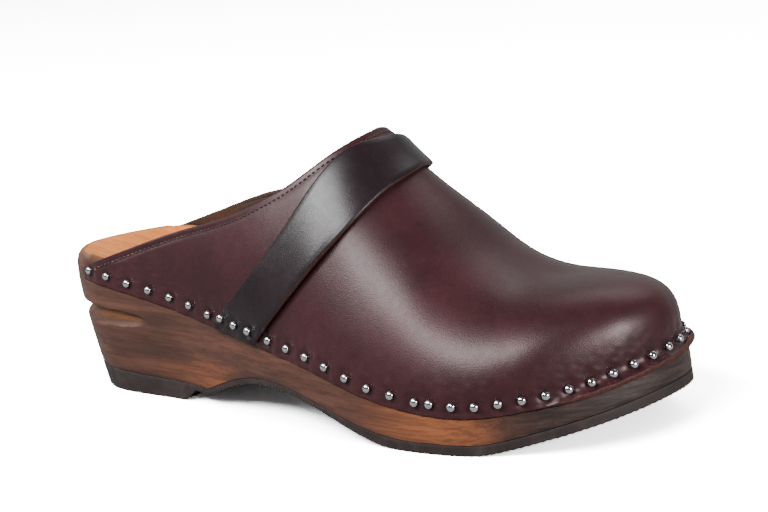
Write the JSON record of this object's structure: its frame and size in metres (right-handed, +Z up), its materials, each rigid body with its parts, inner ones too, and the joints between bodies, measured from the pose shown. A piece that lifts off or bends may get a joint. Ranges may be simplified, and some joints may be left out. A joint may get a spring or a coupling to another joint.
{
  "type": "clog (closed-toe, open-back wooden shoe)",
  "caption": "Right-foot wooden clog: carved heeled wooden sole with rubber outsole, nailed leather upper with a closed toe and open back, and a strap across the instep.",
  "frame": {"origin": "on the ground under the middle of the shoe's bounding box", "axes": "+X from heel to toe, +Y to the inner side of the foot, +Z up"},
  "size_m": [0.2584, 0.0997, 0.1021],
  "materials": {
    "stained_wood": "brown stained alder or lime wood, satin, with a natural light footbed",
    "outsole_rubber": "matt dark rubber sheet",
    "upper_leather": "smooth semi-gloss dark oxblood leather",
    "strap_leather": "smooth glossier near-black brown leather",
    "lining_leather": "matt dark brown leather strip",
    "stitching_thread": "waxed thread",
    "polished_steel": "bright domed nail heads"
  },
  "bodies": {
    "root": {"wooden_sole": "stained_wood", "rubber_outsole": "outsole_rubber", "leather_upper": "upper_leather", "instep_strap": "strap_leather", "topline_lining": "lining_leather", "topline_thread": "stitching_thread", "nail_01": "polished_steel", "nail_02": "polished_steel", "nail_03": "polished_steel", "nail_04": "polished_steel", "nail_05": "polished_steel", "nail_06": "polished_steel", "nail_07": "polished_steel", "nail_08": "polished_steel", "nail_09": "polished_steel", "nail_10": "polished_steel", "nail_11": "polished_steel", "nail_12": "polished_steel", "nail_13": "polished_steel", "nail_14": "polished_steel", "nail_15": "polished_steel", "nail_16": "polished_steel", "nail_17": "polished_steel", "nail_18": "polished_steel", "nail_19": "polished_steel", "nail_20": "polished_steel", "nail_21": "polished_steel", "nail_22": "polished_steel", "nail_23": "polished_steel", "nail_24": "polished_steel", "nail_25": "polished_steel", "nail_26": "polished_steel", "nail_27": "polished_steel", "nail_28": "polished_steel", "nail_29": "polished_steel", "nail_30": "polished_steel", "nail_31": "polished_steel", "nail_32": "polished_steel", "nail_33": "polished_steel", "nail_34": "polished_steel", "nail_35": "polished_steel", "nail_36": "polished_steel", "nail_37": "polished_steel", "nail_38": "polished_steel", "nail_39": "polished_steel", "nail_40": "polished_steel", "nail_41": "polished_steel", "nail_42": "polished_steel", "nail_43": "polished_steel", "nail_44": "polished_steel", "nail_45": "polished_steel", "nail_46": "polished_steel", "nail_47": "polished_steel", "nail_48": "polished_steel", "nail_49": "polished_steel", "nail_50": "polished_steel", "nail_51": "polished_steel", "nail_52": "polished_steel", "nail_53": "polished_steel", "nail_54": "polished_steel"}
  },
  "joints": []
}
